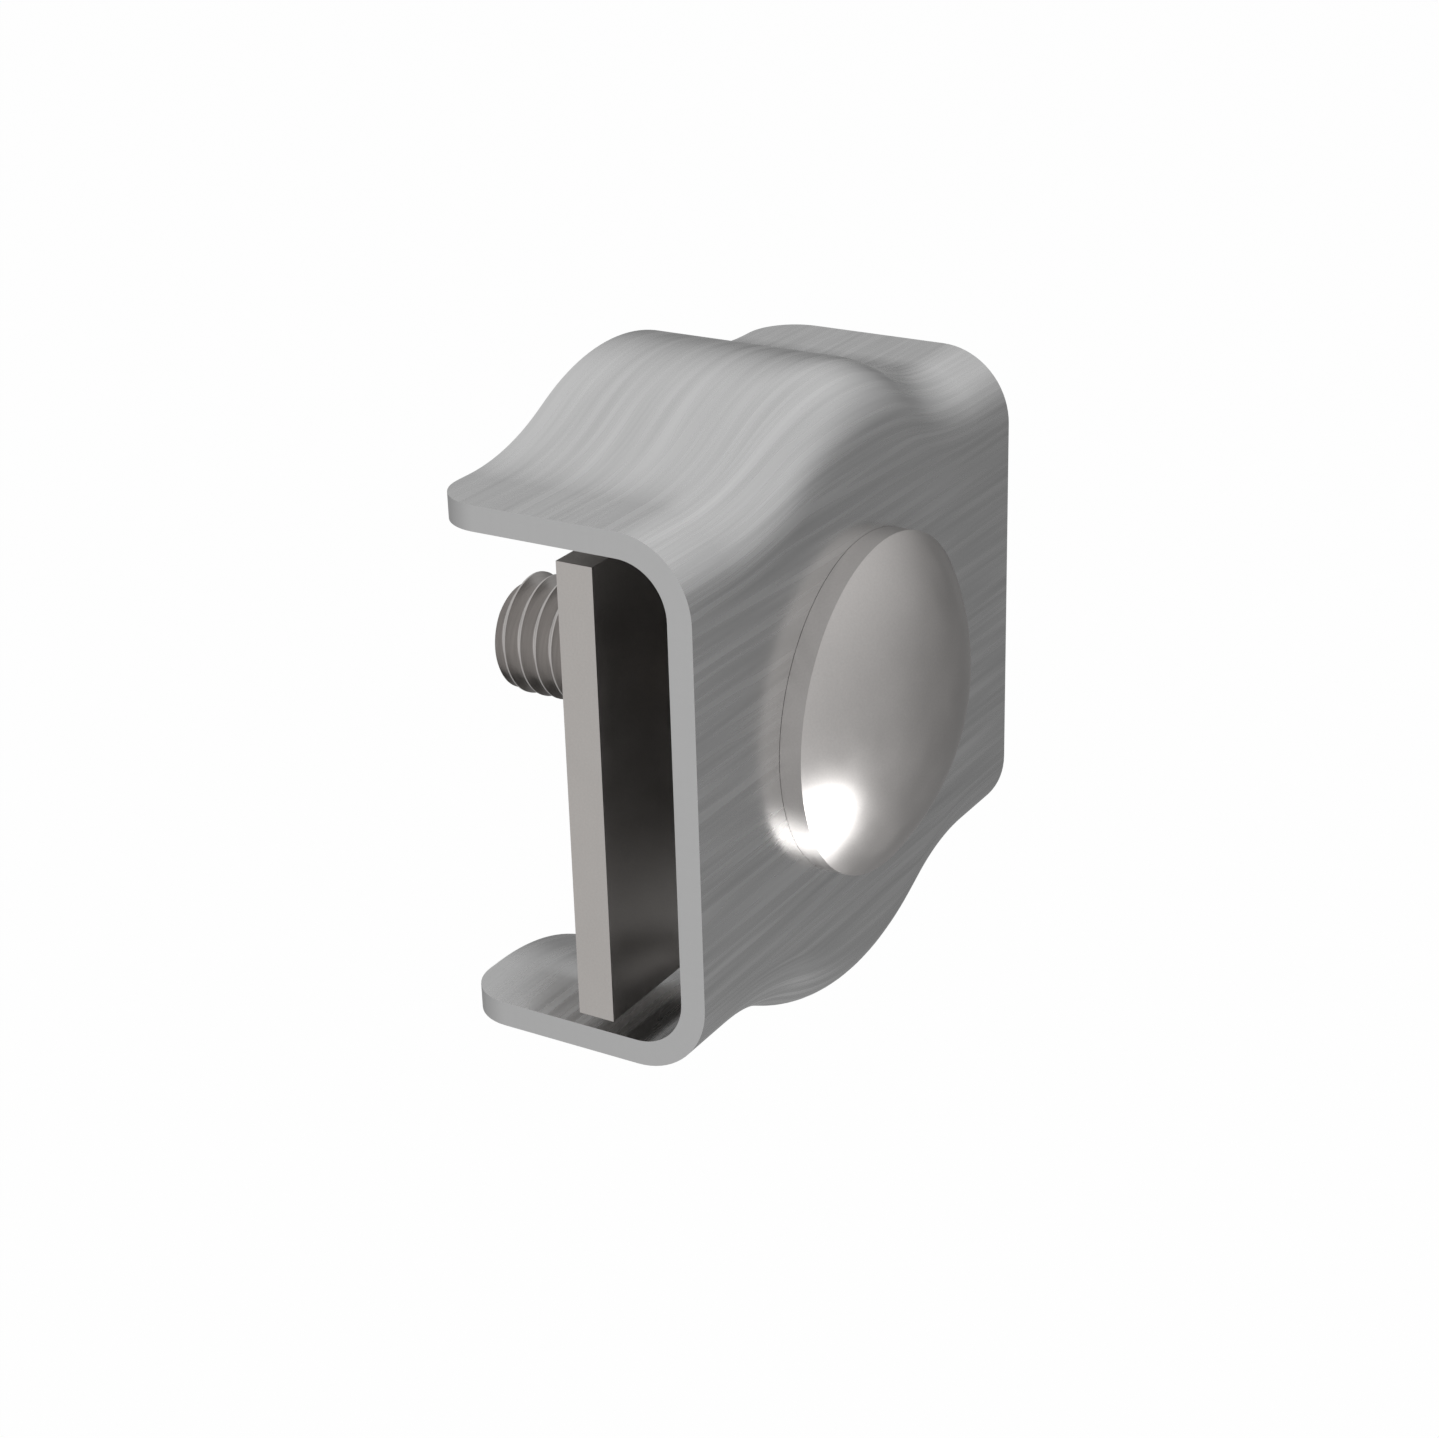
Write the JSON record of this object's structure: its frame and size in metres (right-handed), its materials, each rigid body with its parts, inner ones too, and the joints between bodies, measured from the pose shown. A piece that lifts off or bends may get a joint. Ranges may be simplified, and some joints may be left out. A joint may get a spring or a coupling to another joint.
{
  "type": "wire rope clamp",
  "caption": "Folded steel channel clamp: a cup head bolt through its web and a nut draw a pressure plate in to grip wire ropes laid along the channel.",
  "frame": {"origin": "on the bolt's axis, at the inner face of the web, where the ropes are pressed", "axes": "+X along the channel and the ropes, +Y from the web to the bolt's free end, +Z from the lower flange to the upper one"},
  "size_m": [0.05, 0.0382, 0.052],
  "materials": {
    "channel_steel": "brushed along the channel and over the humps",
    "plate_steel": "satin, slightly warm",
    "fastener_steel": "satin, slightly warm"
  },
  "bodies": {
    "clamp": {"clamp_body": "channel_steel", "cup_head_bolt": "fastener_steel"},
    "plate": {"pressure_plate": "plate_steel"},
    "nut": {"hex_nut": "fastener_steel"}
  },
  "joints": [
    {"name": "plate_slide", "type": "slide", "parent": "clamp", "child": "plate", "axis": [0, 1, 0], "range_m": [-0.0042, 0.0105]},
    {"name": "nut_spin", "type": "hinge", "parent": "plate", "child": "nut", "pos_m": [0, 0.0132, 0], "axis": [0, 1, 0], "range_deg": [-1008, 2520]}
  ],
  "couplings": [
    {"joint": "nut_spin", "follows": "plate_slide", "rad_per_m": 4188.8}
  ]
}
